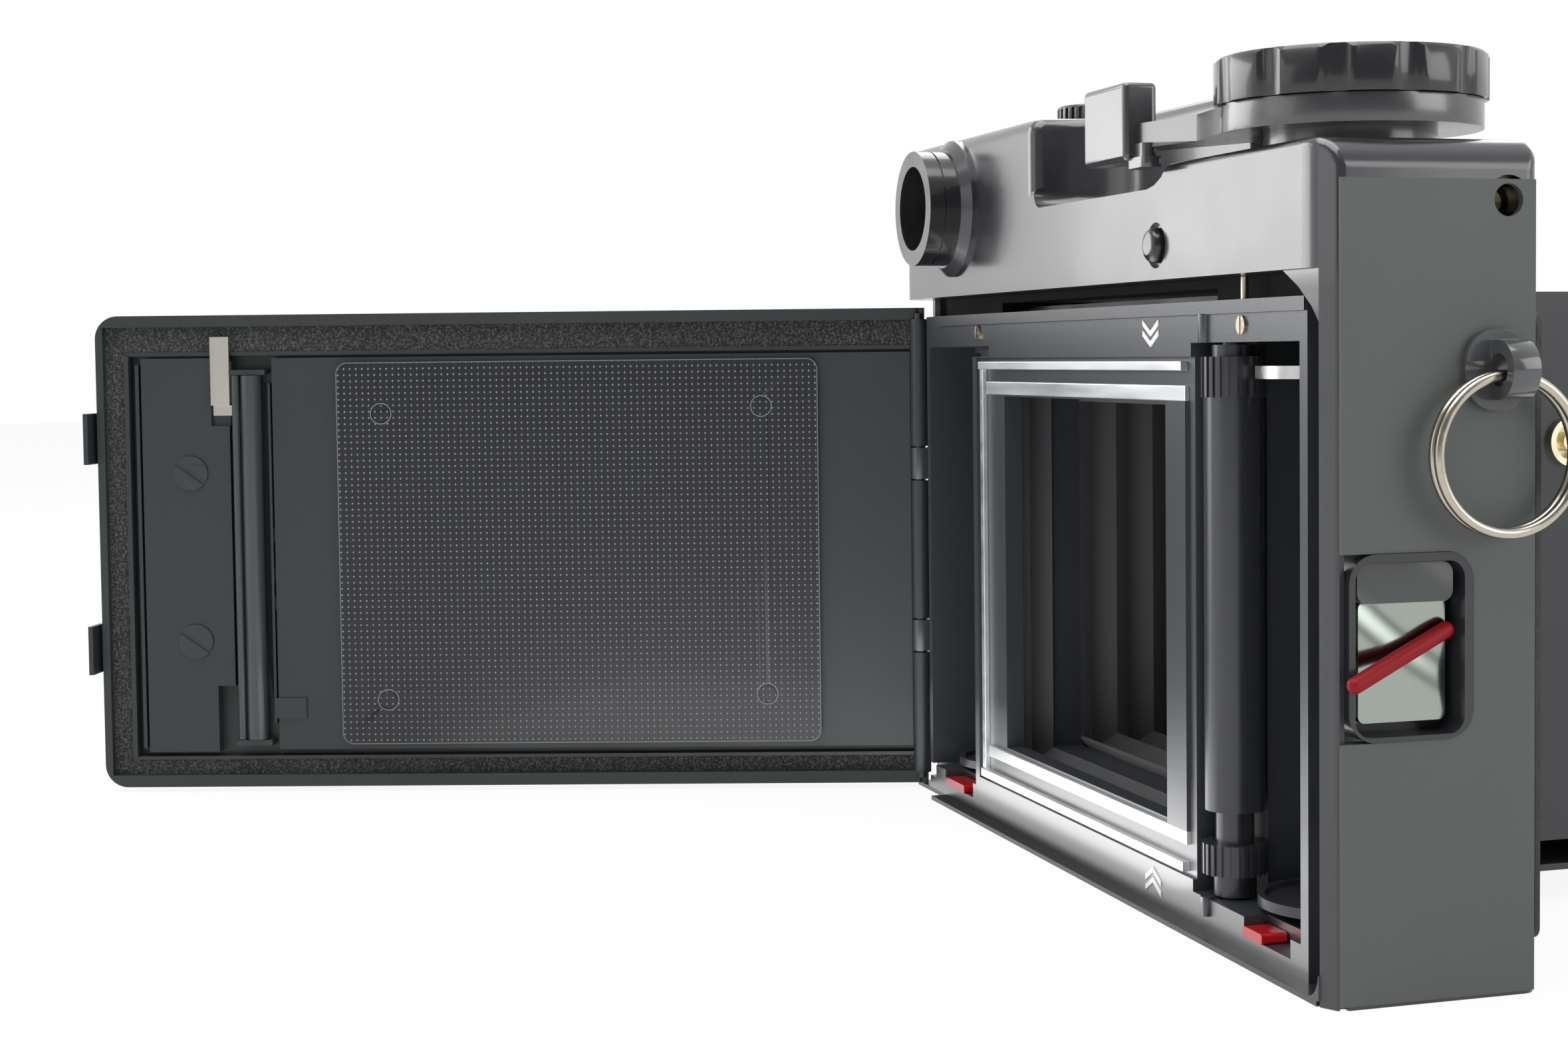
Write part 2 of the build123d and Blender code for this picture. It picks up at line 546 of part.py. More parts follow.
def setting_ring(y0, y1, n):
    s = ry(0, LENS_Z, y0, y1, TUBE_R) - ry(0, LENS_Z, y0 - 1, y1 + 1, BARREL_R + 0.05)
    rib = blk(TUBE_R - 0.5, TUBE_R + 1, y0 - 1, y1 + 1, -0.7, 0.7)
    cuts = [Pos(0, 0, LENS_Z) * Rot(0, 360 / n * i, 0) * rib
            for i in range(n) if i % 6 not in (0, 1)]
    return s - cuts


def aperture_ring():
    return setting_ring(-69.9, -67.1, 48)


def shutter_ring():
    return setting_ring(-66.9, -64.1, 60)


def sync_socket():
    s = rx(-43.4, 63.1, -42.9, -39.2, 3.4) - rx(-43.4, 63.1, -44, -40.2, 2.6)
    return s + rx(-43.4, 63.1, -42.7, -39.4, 1.3)


# Door pieces are drawn shut and then swung open about the hinge
def ds(s0, s1, y0, y1, z0, z1):
    return blk(HX - s1, HX - s0, y0, y1, z0, z1)


def swing(shape):
    return Pos(HX, HY, 0) * Rot(0, 0, -DOOR_OPEN) * Pos(-HX, -HY, 0) * shape


# Door leaf: pan with rim, hinge barrels, liner ridges and latch hooks
def back_door():
    x0 = HX - DOOR_L
    f = make_face(Polyline((x0, 0.9), (73, 0.9), (73, 84.0), (x0, 84.0), close=True))
    f = fillet([p for p in f.vertices() if p.X < 0], 4.0)
    s = extrude(Plane.XZ.offset(-18.2) * f, 5.0)
    e = DOOR_L - 4.7
    s -= ds(1.4, DOOR_L - 1.3, 12, 16.6, 3.0, 82.0)
    s += ds(e - 0.8, e, 14.0, 17, 6.1, 77)
    s += ds(e - 2.5, e - 1.9, 14.2, 17, 7.7, 75.4)
    s += ds(1.2, e, 14.4, 17, 76.9, 77.6) + ds(1.2, e, 14.4, 17, 5.6, 6.2)
    for z0, z1 in ((58.1, 67.0), (21.2, 29.7)):
        s += ds(DOOR_L - 1.3, DOOR_L + 1.6, 15.4, 16.6, z0, z1)
        s += ds(DOOR_L + 0.8, DOOR_L + 1.6, 10.6, 16, z0, z1)
    for z0, z1 in ((3, 24), (30, 54), (60, 82)):
        s += rz(HX, HY, z0, z1, HINGE_R)
    for z0, z1 in ((24, 30), (54, 60)):
        s -= rz(HX, HY, z0, z1, HINGE_R + 1.0)
    return swing(s - rz(HX, HY, 0, 85, PIN_R + 0.05))


def door_skin():
    return swing(py(HX - DOOR_L + 5.4, HX - 4, 18.2, 19.0, 5, 80, 3))


# Flocked light seal in the channel on three sides
def door_seal():
    e = DOOR_L - 1.3
    s = ds(1.4, e, 14.6, 16.6, 77.6, 82.0) + ds(1.4, e, 14.6, 16.6, 3.0, 5.6)
    return swing(s + ds(e - 3.4, e, 14.6, 16.6, 3.0, 82.0))


# Liner plate beside the latch edge, notched for the film spring
def door_plate_free():
    s = ds(121.2, DOOR_L - 7.7, 14.0, 16.6, 7.0, 76.5)
    s -= ds(120, 124.4, 13, 14.9, 64.6, 77) + ds(121, 124.3, 13, 17, 6, 18.7)
    for b in ((128.3, 56.3), (128.0, 26.6)):
        s -= ry(HX - b[0], b[1], 13.0, 14.2, 3.1)
    return swing(s)


def door_plate_hinge():
    s = ds(1.6, 113.6, 14.0, 16.6, 7.4, 76.4)
    for b in RIVETS:
        s -= ry(HX - b[0], b[1], 13, 17, 1.3)
    return swing(s)


RIVETS = ((94.2, 66.5), (27.6, 67.2), (93.8, 16.2), (27.05, 16.8))


# Dimpled pressure plate on four sprung rivets
def pressure_plate():
    s = py(HX - 102, HX - 17.7, 12.62, 13.3, 8.4, 75.5, 2)
    for b in RIVETS:
        s += ry(HX - b[0], b[1], 13.2, 15.8, 1.2)
        s -= ry(HX - b[0], b[1], 12, 12.9, 1.9) - ry(HX - b[0], b[1], 11, 13, 1.5)
    return swing(s)


# Bright film spring by the rollers
def door_springs():
    a = ds(120.9, 124.2, 14.6, 14.9, 66.4, 76.0) + ds(120.9, 124.2, 13.2, 13.5, 68.4, 80.2)
    a += ds(120.9, 124.2, 13.2, 14.9, 68.2, 68.5)
    return swing(a)


def spring_buttons():
    out = []
    for b in ((128.3, 56.3), (128.0, 26.6)):
        d = ry(HX - b[0], b[1], 13.7, 14.2, 3.05)
        d -= Pos(HX - b[0], 13.7, b[1]) * Rot(0, 35, 0) * Box(6.4, 0.5, 0.7)
        out.append(d)
    return swing(many(*out))


# Bracket with end ears that carry the two film rollers, and its leaf spring
def roller_bracket():
    s = ds(114.0, 121.0, 15.9, 16.6, 8.2, 74.0) + ds(114.0, 114.5, 14.2, 16, 12, 72)
    for z0, z1 in ((8.2, 9.2), (73.5, 74.4)):
        s += ds(114.6, 120.9, 12.9, 16.6, z0, z1)
    s -= rz(HX - 117.35, 14.05, 0, 80, 0.62) + rz(HX - 119.95, 13.75, 0, 80, 0.42)
    for z in (32.0, 37.0, 44.0):
        s -= ds(113, 115, 14.6, 15.6, z, z + 2.4)
    return swing(s + ds(108.6, 114.2, 13.6, 14.0, 12.9, 16.5))


def door_roller(s0, y, r, pin):
    x = HX - s0
    return swing(rz(x, y, 9.3, 73.4, r) + rz(x, y, 8.3, 74.3, pin))


def hinge_pin():
    return rz(HX, HY, 2, 83, PIN_R)


# Every node by name
def nodes():
    n = {}
    for f in (body_shell, body_casting, inner_rails, outer_rails, film_arrows, top_housing,
              side_cover, latch_bezel, latch_slider, latch_bar, strap_lugs, release_socket,
              tripod_bush, grip_skin, accessory_shoe, eyepiece, finder_glass, finder_block,
              speed_dial, counter_disc, battery_cover, screws, takeup_drive,
              metering_roller, interlock_pin, wind_lever, focus_knob, shutter_button,
              meter_button, bellows_rear, bellows_main, focus_carriage, lens_standard,
              lens_barrel, lens_glass, aperture_ring, shutter_ring, sync_socket, back_door,
              door_skin, door_seal, door_plate_free, door_plate_hinge, pressure_plate,
              door_springs, spring_buttons, roller_bracket, hinge_pin):
        n[f.__name__] = f()
    n["strap_ring_right"] = split_ring(-1)
    n["strap_ring_left"] = split_ring(1)
    n["spool_pin_takeup"] = spool_pin(-SPOOL_X)
    n["spool_pin_supply"] = spool_pin(SUPPLY_X)
    n["tab_takeup"] = tab(-61.1, -55.7)
    n["tab_supply"] = tab(50.6, 60.2)
    n["arm_top_a"] = arm(1, 76.4, 78.0, 73.2, 77)
    n["arm_top_b"] = arm(-1, 78.4, 80.0, 73.2, 79)
    n["arm_bottom_a"] = arm(1, 5.5, 6.7, 6, 9.7)
    n["arm_bottom_b"] = arm(-1, 6.9, 8.1, 7, 9.7)
    n["door_roller_thick"] = door_roller(117.35, 14.05, 1.75, 0.6)
    n["door_roller_thin"] = door_roller(119.95, 13.75, 0.7, 0.4)
    return n


os.makedirs("parts", exist_ok=True)
for name, shape in nodes().items():
    export_step(shape, f"parts/{name}.step")
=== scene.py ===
import math

import bmesh
import bpy
from mathutils import Matrix, Vector


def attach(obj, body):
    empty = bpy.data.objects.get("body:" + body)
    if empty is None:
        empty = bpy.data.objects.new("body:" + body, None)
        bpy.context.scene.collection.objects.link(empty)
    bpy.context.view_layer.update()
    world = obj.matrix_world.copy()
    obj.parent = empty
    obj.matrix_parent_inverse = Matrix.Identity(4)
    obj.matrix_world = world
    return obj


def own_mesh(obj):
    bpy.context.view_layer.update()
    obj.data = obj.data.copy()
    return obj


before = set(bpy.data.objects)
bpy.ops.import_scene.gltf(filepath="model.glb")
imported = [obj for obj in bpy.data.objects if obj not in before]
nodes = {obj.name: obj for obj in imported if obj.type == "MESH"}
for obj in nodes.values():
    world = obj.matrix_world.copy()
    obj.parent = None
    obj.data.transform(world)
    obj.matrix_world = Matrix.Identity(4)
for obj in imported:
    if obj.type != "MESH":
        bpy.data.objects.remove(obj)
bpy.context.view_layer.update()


# Body shell: the front, the base and both end walls in one piece of pressed sheet.
# It is sprayed satin black over a fine grain, and the casting is screwed into it from below.
MM = 0.001
COAT_ROUGH = 0.08
GRAIN_SCALE, PATCH_SCALE, DUST_SCALE = 3000.0, 70.0, 900.0
PATCH_DETAIL, PATCH_LOW, PATCH_HIGH = 5.0, 0.3, 0.7
DUST_DETAIL, DUST_SOFT, DUST_GAIN, DUST_LIFT = 2.0, 0.04, 3.0, 0.01
WELD_MM, EDGE_STEPS, EDGE_ANGLE = 0.002, 2, 50


def shader_material(name, colour, rough, metal=0.0, coat=0.0):
    mat = bpy.data.materials.new(name)
    mat.use_nodes = True
    shader = mat.node_tree.nodes["Principled BSDF"]
    shader.inputs["Base Color"].default_value = (*colour, 1.0)
    shader.inputs["Roughness"].default_value = rough
    shader.inputs["Metallic"].default_value = metal
    shader.inputs["Coat Weight"].default_value = coat
    shader.inputs["Coat Roughness"].default_value = COAT_ROUGH
    return mat, shader


def link(tree, start, out, end, into):
    tree.links.new(start.outputs[out], end.inputs[into])


def noise_node(tree, scale, detail=3.0, stretch=(1, 1, 1)):
    place = tree.nodes.new("ShaderNodeTexCoord")
    mapping = tree.nodes.new("ShaderNodeMapping")
    mapping.inputs["Scale"].default_value = stretch
    noise = tree.nodes.new("ShaderNodeTexNoise")
    noise.inputs["Scale"].default_value = scale
    noise.inputs["Detail"].default_value = detail
    link(tree, place, "Object", mapping, "Vector")
    link(tree, mapping, "Vector", noise, "Vector")
    return noise


def span_node(tree, source, out, low, high, lows, highs):
    span = tree.nodes.new("ShaderNodeMapRange")
    for key, value in (("From Min", low), ("From Max", high), ("To Min", lows), ("To Max", highs)):
        span.inputs[key].default_value = value
    link(tree, source, out, span, "Value")
    return span


def two_colours(tree, factor, out, low, high):
    blend = tree.nodes.new("ShaderNodeMix")
    blend.data_type = "RGBA"
    blend.inputs["A"].default_value = (*low, 1.0)
    blend.inputs["B"].default_value = (*high, 1.0)
    link(tree, factor, out, blend, "Factor")
    return blend


def raise_surface(tree, height, out, shader, depth_mm):
    bump = tree.nodes.new("ShaderNodeBump")
    bump.inputs["Distance"].default_value = depth_mm * MM
    link(tree, height, out, bump, "Height")
    link(tree, bump, "Normal", shader, "Normal")


def add_grain(mat, shader, scale, depth_mm):
    tree = mat.node_tree
    raise_surface(tree, noise_node(tree, scale), "Fac", shader, depth_mm)


def vary_rough(mat, shader, scale, smoothest, roughest, stretch=(1, 1, 1)):
    tree = mat.node_tree
    patches = noise_node(tree, scale, PATCH_DETAIL, stretch)
    span = span_node(tree, patches, "Fac", PATCH_LOW, PATCH_HIGH, smoothest, roughest)
    link(tree, span, "Result", shader, "Roughness")


def add_dust(mat, shader, clean, dusty, edge):
    tree = mat.node_tree
    noise = noise_node(tree, DUST_SCALE, DUST_DETAIL)
    specks = span_node(tree, noise, "Fac", edge, edge + DUST_SOFT, 0.0, 1.0)
    link(tree, two_colours(tree, specks, "Result", clean, dusty), "Result", shader, "Base Color")


def sprayed(name, colour, smoothest, roughest, grain_mm, coat=0.0, specks=0.76):
    mat, shader = shader_material(name, colour, smoothest, coat=coat)
    add_grain(mat, shader, GRAIN_SCALE, grain_mm)
    vary_rough(mat, shader, PATCH_SCALE, smoothest, roughest)
    dusty = tuple(DUST_GAIN * c + DUST_LIFT for c in colour)
    add_dust(mat, shader, colour, dusty, specks)
    return mat


def dress(name, mat, edge_mm=0.0):
    piece = nodes[name]
    for holder in piece.material_slots:
        holder.link = "OBJECT"
        holder.material = mat
    if edge_mm:
        weld = piece.modifiers.new("weld", "WELD")
        weld.merge_threshold = WELD_MM * MM
        bevel = piece.modifiers.new("edge", "BEVEL")
        bevel.width = edge_mm * MM
        bevel.segments = EDGE_STEPS
        bevel.limit_method = "ANGLE"
        bevel.angle_limit = math.radians(EDGE_ANGLE)
        bevel.use_clamp_overlap = True


SATIN_BLACK = (0.020, 0.021, 0.024)
satin_black = sprayed("satin black spray", SATIN_BLACK, smoothest=0.26, roughest=0.36,
                      grain_mm=0.004, coat=0.25)
dress("body_shell", satin_black, edge_mm=0.3)


# Casting behind the film, with the gate and both film chambers, in light alloy sprayed black.
# Black flock is glued into the step along its top as a light trap.
# Its foot is painted light and metallic on faces that look back, fading out upwards, as a painted
# reflection of the bright floor.
CASTING = (0.030, 0.034, 0.040)
FLOOR_REFLECTION_PAINT = (0.36, 0.36, 0.365)
FLOCK_BLACK = (0.004, 0.004, 0.004)
TRAP_Z, REFLECTION_FADES_Z, REFLECTION_FULL_Z = 82.32, 20.0, 7.0
TURNED_AWAY, FACING_BACK = 0.8, 0.95
CASTING_ROUGH, FLOCK_ROUGH, CASTING_IOR = 0.34, 1.0, 1.8


def height_split(tree, at_mm, soft_mm=0.05):
    place = tree.nodes.new("ShaderNodeTexCoord")
    parts = tree.nodes.new("ShaderNodeSeparateXYZ")
    link(tree, place, "Object", parts, "Vector")
    return span_node(tree, parts, "Z", (at_mm - soft_mm) * MM, (at_mm + soft_mm) * MM, 0.0, 1.0)


# Mask for the painted floor reflection: full at the foot, gone higher up, and only on faces that look
# back.
def painted_reflection_below(tree, fades_mm, full_mm):
    place = tree.nodes.new("ShaderNodeTexCoord")
    parts = tree.nodes.new("ShaderNodeSeparateXYZ")
    facing = tree.nodes.new("ShaderNodeSeparateXYZ")
    link(tree, place, "Object", parts, "Vector")
    link(tree, place, "Normal", facing, "Vector")
    height = span_node(tree, parts, "Z", full_mm * MM, fades_mm * MM, 1.0, 0.0)
    back = span_node(tree, facing, "Y", TURNED_AWAY, FACING_BACK, 0.0, 1.0)
    both = tree.nodes.new("ShaderNodeMath")
    both.operation = "MULTIPLY"
    link(tree, height, "Result", both, 0)
    link(tree, back, "Result", both, 1)
    return both


casting_finish, casting_shader = shader_material("casting with light trap and painted reflection", CASTING, CASTING_ROUGH)
casting_shader.inputs["IOR"].default_value = CASTING_IOR
casting_tree = casting_finish.node_tree
add_grain(casting_finish, casting_shader, GRAIN_SCALE, 0.012)
trap_line = height_split(casting_tree, TRAP_Z)
floor_reflection_mask = painted_reflection_below(casting_tree, REFLECTION_FADES_Z, REFLECTION_FULL_Z)
sprayed_colour = two_colours(casting_tree, trap_line, "Result", CASTING, FLOCK_BLACK)
# Painted reflection of the floor, laid over the sprayed colour and the flock.
reflected_colour = two_colours(casting_tree, floor_reflection_mask, "Value", CASTING, FLOOR_REFLECTION_PAINT)
link(casting_tree, sprayed_colour, "Result", reflected_colour, "A")
link(casting_tree, reflected_colour, "Result", casting_shader, "Base Color")
link(casting_tree, floor_reflection_mask, "Value", casting_shader, "Metallic")
casting_rough = span_node(casting_tree, trap_line, "Result", 0.0, 1.0, CASTING_ROUGH, FLOCK_ROUGH)
link(casting_tree, casting_rough, "Result", casting_shader, "Roughness")
dress("body_casting", casting_finish, edge_mm=0.1)


# Film rails of bright steel, ground flat and polished, and fixed after the casting is sprayed.
# The outer pair stands proud and guides the film's edges, the inner pair frames the gate.
EVEN, ALONG_X, ALONG_Z = (1, 1, 1), (0.1, 1, 1), (1, 1, 0.1)


def bright_metal(name, colour, smoothest, roughest, stretch, scale=400.0):
    mat, shader = shader_material(name, colour, smoothest, metal=1.0)
    vary_rough(mat, shader, scale, smoothest, roughest, stretch)
    return mat


rail_steel = bright_metal("polished rail", (0.94, 0.95, 0.96), smoothest=0.34, roughest=0.46,
                          stretch=ALONG_X)
dress("inner_rails", rail_steel, edge_mm=0.08)
dress("outer_rails", rail_steel, edge_mm=0.08)


# Film start arrows, white enamel printed on the frame above and below the gate.
# The tip of each points at the line the backing paper's arrow is set to.
white_mark = shader_material("white enamel", (0.75, 0.76, 0.75), rough=0.5)[0]
dress("film_arrows", white_mark)


# Metering roller, take-up disc and spool supports, turned from rod and run in the casting.
# The roller and supports are black anodised, the disc is plain steel.
ANODISED = (0.040, 0.042, 0.048)
TURNED_SCALE = 250.0
anodised, anodised_shader = shader_material("black anodised", ANODISED, rough=0.3, metal=0.4, coat=0.5)
anodised_shader.inputs["Coat Roughness"].default_value = 0.25
vary_rough(anodised, anodised_shader, TURNED_SCALE, 0.24, 0.36, ALONG_Z)
drive_steel = bright_metal("turned steel", (0.5, 0.5, 0.5), smoothest=0.2, roughest=0.35, stretch=EVEN)
dress("metering_roller", anodised)
dress("takeup_drive", drive_steel)
dress("spool_pin_takeup", anodised)
dress("spool_pin_supply", anodised)


# Red enamelled tabs at the foot of each spool chamber, cut from strip.
# Each slides sideways in a slot of the casting and lets its spool support drop.
red_enamel, red_shader = shader_material("red enamel", (0.50, 0.006, 0.012), rough=0.28, coat=0.8)
add_grain(red_enamel, red_shader, 900.0, 0.02)
dress("tab_takeup", red_enamel)
dress("tab_supply", red_enamel)


# Small fittings: frame and base screws and the door interlock pin, nickel plated with a warm cast.
# The pin drops when the door shuts and frees the shutter.
# The hinge pin is plain blackened steel, pushed in from below.
FINE_TURNING = 900.0
warm_nickel = bright_metal("warm nickel", (0.58, 0.52, 0.42), smoothest=0.18, roughest=0.4,
                           stretch=EVEN, scale=FINE_TURNING)
dress("screws", warm_nickel)
dress("interlock_pin", warm_nickel)
dress("hinge_pin", anodised)


# Top cover with finder housing, scoop and rear rim, one pressing in deep satin black.
# It carries the eyepiece, knob and lever and is screwed down to the shell from inside.
# Its rim beside the door is handled most and has gone duller than the top.
TOP_BLACK, TOP_IOR = (0.018, 0.019, 0.023), 1.7
RIM_TOP_Z, RIM_SOFT_MM, RIM_DULLER = 84.0, 1.0, 0.35
top_black = sprayed("top cover black", TOP_BLACK, smoothest=0.20, roughest=0.27, grain_mm=0.002,
                    coat=0.3)
top_tree = top_black.node_tree
top_shader = top_tree.nodes["Principled BSDF"]
top_shader.inputs["IOR"].default_value = TOP_IOR
top_gloss = top_shader.inputs["Roughness"].links[0].from_node
rim_line = height_split(top_tree, RIM_TOP_Z, RIM_SOFT_MM)
rim_dull = span_node(top_tree, rim_line, "Result", 0.0, 1.0, RIM_DULLER, 0.0)
duller = top_tree.nodes.new("ShaderNodeMath")
link(top_tree, top_gloss, "Result", duller, 0)
link(top_tree, rim_dull, "Result", duller, 1)
link(top_tree, duller, "Value", top_shader, "Roughness")
dress("top_housing", top_black)


# Flat end cover on the winding side, powder sprayed a green-grey that looks lighter than the rest.
# It is let into the end wall and held from behind.
powder = sprayed("grey powder spray", (0.064, 0.071, 0.067), smoothest=0.42, roughest=0.55,
                 grain_mm=0.008, specks=0.8)
dress("side_cover", powder)


# Door latch: a tray let into the end cover, and a slide with a raised grip over a polished plate.
# A red enamelled bar lies across the plate and warns that the latch is undone.
PLATE_METAL, RIDGE_BLACK = (0.34, 0.38, 0.34), (0.05, 0.053, 0.052)
PLATE_ROUGH, RIDGE_ROUGH, RIDGE_Z = 0.14, 0.30, 46.75
DISH_TILT, DISH_SCALE, DISH_WANDER, DISH_MM = -35, 27.0, 3.2, 0.5
BAR_RED, BAR_IOR = (0.20, 0.002, 0.006), 1.3
dress("latch_bezel", satin_black)
latch_finish, latch_shader = shader_material("latch plate and ridge", PLATE_METAL, PLATE_ROUGH)
latch_tree = latch_finish.node_tree
ridge_line = height_split(latch_tree, RIDGE_Z)
plate_colour = two_colours(latch_tree, ridge_line, "Result", PLATE_METAL, RIDGE_BLACK)
plate_shine = span_node(latch_tree, ridge_line, "Result", 0.0, 1.0, 1.0, 0.0)
plate_rough = span_node(latch_tree, ridge_line, "Result", 0.0, 1.0, PLATE_ROUGH, RIDGE_ROUGH)
link(latch_tree, plate_colour, "Result", latch_shader, "Base Color")
link(latch_tree, plate_shine, "Result", latch_shader, "Metallic")
link(latch_tree, plate_rough, "Result", latch_shader, "Roughness")
latch_place = latch_tree.nodes.new("ShaderNodeTexCoord")
latch_turn = latch_tree.nodes.new("ShaderNodeMapping")
latch_turn.inputs["Rotation"].default_value = (math.radians(DISH_TILT), 0, 0)
dish = latch_tree.nodes.new("ShaderNodeTexWave")
dish.bands_direction = "Z"
dish.inputs["Scale"].default_value = DISH_SCALE
dish.inputs["Distortion"].default_value = DISH_WANDER
dish.inputs["Detail"].default_value = 0.0
link(latch_tree, latch_place, "Object", latch_turn, "Vector")
link(latch_tree, latch_turn, "Vector", dish, "Vector")
raise_surface(latch_tree, dish, "Fac", latch_shader, DISH_MM)
dress("latch_slider", latch_finish, edge_mm=0.25)
bar_red = sprayed("red bar", BAR_RED, smoothest=0.42, roughest=0.5, grain_mm=0.01, specks=0.9)
bar_red.node_tree.nodes["Principled BSDF"].inputs["IOR"].default_value = BAR_IOR
dress("latch_bar", bar_red, edge_mm=0.1)


# Strap lugs turned from steel and blacked, riveted through the end walls.
# Each holds a split ring of plated spring wire that swings in its eye.
lug_black = sprayed("lug black", (0.055, 0.057, 0.06), smoothest=0.12, roughest=0.2, grain_mm=0.002,
                    coat=0.6)
ring_wire = bright_metal("ring wire", (0.50, 0.46, 0.39), smoothest=0.16, roughest=0.3, stretch=EVEN,
                         scale=FINE_TURNING)
dress("strap_lugs", lug_black, edge_mm=0.3)
dress("strap_ring_right", ring_wire)
dress("strap_ring_left", ring_wire)


# Bushes, shoe and battery cover on the outside, all turned or stamped and screwed in.
# The release socket is turned brass behind a hole, with the hole's shadow painted dark round its edge;
# the tripod bush is nickel plated steel.
SOCKET_Y, SOCKET_Z, SOCKET_R, SOCKET_SOFT = -8.7, 93.0, 1.45, 0.1
BRASS_CENTRE, PAINTED_HOLE_SHADOW = (0.95, 0.85, 0.62), (0.05, 0.045, 0.03)
SHOE_CHROME = (0.38, 0.38, 0.39)


def reach_from(tree, source, out, centre, across):
    offset = tree.nodes.new("ShaderNodeVectorMath")
    offset.operation = "SUBTRACT"
    offset.inputs[1].default_value = centre
    flat = tree.nodes.new("ShaderNodeVectorMath")
    flat.operation = "MULTIPLY"
    flat.inputs[1].default_value = across
    reach = tree.nodes.new("ShaderNodeVectorMath")
    reach.operation = "LENGTH"
    link(tree, source, out, offset, 0)
    link(tree, offset, 0, flat, 0)
    link(tree, flat, 0, reach, 0)
    return reach


# Brass painted dark outside a given radius from an axis along x: a painted shadow of the hole's wall
# on the bush.
def brass_with_painted_shadow(name, centre, bright, shadow_colour, edge_mm, soft_mm):
    mat, shader = shader_material(name, bright, rough=0.25, metal=1.0)
    tree = mat.node_tree
    place = tree.nodes.new("ShaderNodeTexCoord")
    reach = reach_from(tree, place, "Object", centre, (0, 1, 1))
    rim = span_node(tree, reach, "Value", (edge_mm - soft_mm) * MM, edge_mm * MM, 0.0, 1.0)
    link(tree, two_colours(tree, rim, "Result", bright, shadow_colour), "Result", shader, "Base Color")
    return mat


socket_brass = brass_with_painted_shadow("socket brass with painted shadow", (0, SOCKET_Y * MM, SOCKET_Z * MM), BRASS_CENTRE,
                            PAINTED_HOLE_SHADOW, SOCKET_R, SOCKET_SOFT)
shoe_chrome = bright_metal("shoe chrome", SHOE_CHROME, smoothest=0.25, roughest=0.4, stretch=ALONG_X)
dress("release_socket", socket_brass)
dress("tripod_bush", warm_nickel)
dress("accessory_shoe", shoe_chrome)
dress("battery_cover", anodised)


# Leather skins, fine grained and glued to the front, the grip and the outside of the door.
# They are cut short of every edge so the metal shows round them.
LEATHER, LEATHER_CELLS, LEATHER_MM = (0.018, 0.018, 0.018), 1100.0, 0.12


def leather_grain(name):
    mat, shader = shader_material(name, LEATHER, rough=0.55)
    tree = mat.node_tree
    place = tree.nodes.new("ShaderNodeTexCoord")
    cells = tree.nodes.new("ShaderNodeTexVoronoi")
    cells.inputs["Scale"].default_value = LEATHER_CELLS
    cells.feature = "SMOOTH_F1"
    link(tree, place, "Object", cells, "Vector")
    raise_surface(tree, cells, "Distance", shader, LEATHER_MM)
    return mat


leather = leather_grain("black leather")
dress("grip_skin", leather)
dress("door_skin", leather)


# Eyepiece mount in two black rings screwed to the cover, and the glass panes of the windows.
# The optical block behind them is cast and blacked and hardly shows.
gloss_black, gloss_shader = shader_material("gloss black", (0.012, 0.012, 0.014), rough=0.2, coat=0.4)
vary_rough(gloss_black, gloss_shader, 120.0, 0.16, 0.28)
dress("eyepiece", gloss_black)
pane, pane_shader = shader_material("finder pane", (0.55, 0.6, 0.62), rough=0.03)
pane_shader.inputs["Transmission Weight"].default_value = 0.9
dress("finder_glass", pane)
casting_black = sprayed("casting black", CASTING, smoothest=0.30, roughest=0.42, grain_mm=0.01)
dress("finder_block", casting_black)


# Thin pressed frames round the three finder windows, sprung into the front of the top cover.
# Each is a flat rectangle of blackened brass that stands a little proud of the paint.
FRAME_RIM, FRAME_BACK, FRAME_FRONT = 0.9, -12.95, -13.3
WINDOW_FRAMES = (("finder_frame", 33.0, 58.0, 90.9, 107.9),
                 ("rangefinder_frame", -23.5, -14.5, 94.9, 103.9),
                 ("bright_line_frame", -4.5, 14.5, 93.9, 104.9))


def place_mesh(name, mesh, mat):
    piece = bpy.data.objects.new(name, mesh)
    bpy.context.scene.collection.objects.link(piece)
    mesh.materials.append(mat)
    return piece


def pressed_frame(name, x0, x1, z0, z1, rim, back, front):
    corners = [(x0, z0), (x1, z0), (x1, z1), (x0, z1)]
    inner = [(x0 + rim, z0 + rim), (x1 - rim, z0 + rim), (x1 - rim, z1 - rim), (x0 + rim, z1 - rim)]
    spots = [(x * MM, y * MM, z * MM) for y in (back, front) for x, z in corners + inner]
    back_out, back_in, front_out, front_in = 0, 4, 8, 12
    faces = []
    for i in range(4):
        j = (i + 1) % 4
        faces.append((front_out + i, front_out + j, front_in + j, front_in + i))
        faces.append((back_out + i, back_in + i, back_in + j, back_out + j))
        faces.append((back_out + i, back_out + j, front_out + j, front_out + i))
        faces.append((back_in + i, front_in + i, front_in + j, back_in + j))
    mesh = bpy.data.meshes.new(name)
    mesh.from_pydata(spots, [], faces)
    piece = place_mesh(name, mesh, gloss_black)
    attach(piece, "body")


for label, x0, x1, z0, z1 in WINDOW_FRAMES:
    pressed_frame(label, x0, x1, z0, z1, FRAME_RIM, FRAME_BACK, FRAME_FRONT)


# Frame counter disc and the ribbed dial, turned and blacked, with white numbers filled in.
# The disc turns under its pane with the wind lever, the dial is set by hand.
COUNT_X, COUNT_Y, COUNT_TOP = -14.0, -5.9, 107.4
DIAL_X, DIAL_Y, DIAL_TOP = 16.5, 1.2, 113.4
FILL_MM, CURVE_STEPS, JOIN_DISTANCE = 0.03, 3, 1e-7
COUNTS = ("1", "3", "5", "7", "9", "11")
FILM_SPEEDS = ("50", "100", "200", "400", "800")


